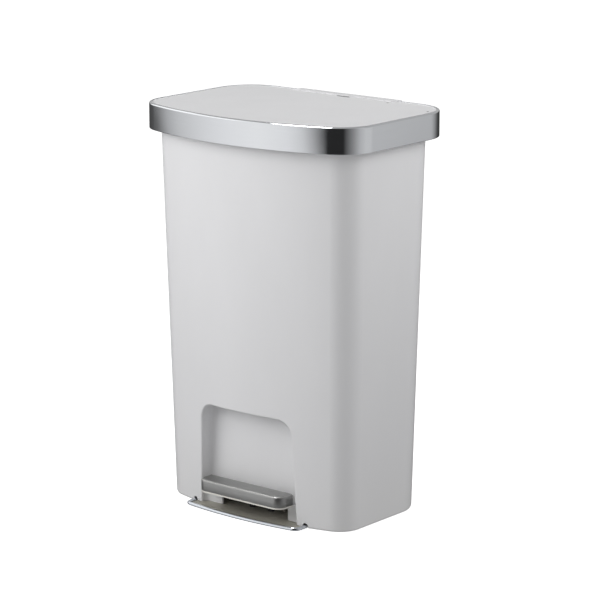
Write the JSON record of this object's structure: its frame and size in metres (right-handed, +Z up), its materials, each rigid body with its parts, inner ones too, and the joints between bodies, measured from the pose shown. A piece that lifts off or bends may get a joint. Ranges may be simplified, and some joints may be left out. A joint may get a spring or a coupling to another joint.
{
  "type": "pedal trash can",
  "caption": "Tall bowed-front bin with a steel-edged hinged lid, a steel-capped foot pedal in a front recess, and a bright wire bar on the floor.",
  "frame": {"origin": "on the floor, under the centre of the bounding box", "axes": "+Z up, -Y is the front with the pedal, +X is the right side seen from the front"},
  "size_m": [0.442, 0.32, 0.66],
  "materials": {
    "body_white": "fine satin moulding grain",
    "lid_white": "smooth satin",
    "grey_plastic": "satin",
    "cream_plastic": "satin",
    "nylon": "satin",
    "badge_grey": "satin",
    "polished_steel": "mirror polished",
    "brushed_steel": "lengthwise brushed",
    "chrome_wire": "bright chromed",
    "zinc_steel": "zinc plated",
    "steel_rod": "drawn bright steel",
    "soft_rubber": "matt"
  },
  "bodies": {
    "body": {"base_plate": "grey_plastic", "base_screws": "zinc_steel", "channel_screws": "zinc_steel", "floor_bar": "chrome_wire", "floor_bar_clip_left": "nylon", "floor_bar_clip_right": "nylon", "hinge_bracket": "zinc_steel", "hinge_bracket_screws": "zinc_steel", "hinge_pin": "steel_rod", "outer_body": "body_white", "pedal_axle": "steel_rod", "pedal_stop_pad_left": "soft_rubber", "pedal_stop_pad_right": "soft_rubber", "rod_channel_cover": "body_white", "rod_guide_lower": "nylon", "rod_guide_upper": "nylon", "rubber_foot_front_left": "soft_rubber", "rubber_foot_front_right": "soft_rubber", "rubber_foot_rear_left": "soft_rubber", "rubber_foot_rear_right": "soft_rubber"},
    "lid": {"lid_panel": "lid_white", "lid_rim_band": "polished_steel", "lid_inner_frame": "lid_white", "hinge_cover": "lid_white", "hinge_bush_left": "nylon", "hinge_bush_right": "nylon", "crank_pin": "steel_rod", "lid_screws": "zinc_steel", "cover_screws": "zinc_steel", "lid_badge": "badge_grey", "lid_plug_rear": "badge_grey", "lid_plug_side": "badge_grey", "lid_bumper_front_left": "soft_rubber", "lid_bumper_front_right": "soft_rubber", "lid_bumper_side_left": "soft_rubber", "lid_bumper_side_right": "soft_rubber"},
    "pedal": {"pedal_lever": "zinc_steel", "pedal_base": "cream_plastic", "pedal_cap": "brushed_steel", "pedal_screws": "zinc_steel", "pedal_bush_left": "nylon", "pedal_bush_right": "nylon", "lever_nose_pad": "nylon"},
    "rod": {"push_rod": "steel_rod", "rod_foot": "nylon", "rod_head": "nylon"},
    "lock": {"lock_slider": "lid_white"}
  },
  "joints": [
    {"name": "lid_hinge", "type": "hinge", "parent": "body", "child": "lid", "pos_m": [0, 0.147, 0.622], "axis": [-1, 0, 0], "range_deg": [0, 78]},
    {"name": "pedal_pivot", "type": "hinge", "parent": "body", "child": "pedal", "pos_m": [0, -0.055, 0.022], "axis": [1, 0, 0], "range_deg": [0, 13.05]},
    {"name": "rod_slide", "type": "slide", "parent": "body", "child": "rod", "axis": [0, 0.0162, 0.9999], "range_m": [0, 0.03776]},
    {"name": "lock_slide", "type": "slide", "parent": "lid", "child": "lock", "axis": [-1, 0, 0], "range_m": [0, 0.008]}
  ],
  "couplings": [
    {"joint": "pedal_pivot", "follows": "lid_hinge", "ratio": 0.16727},
    {"joint": "rod_slide", "follows": "lid_hinge", "m_per_rad": 0.027737}
  ]
}
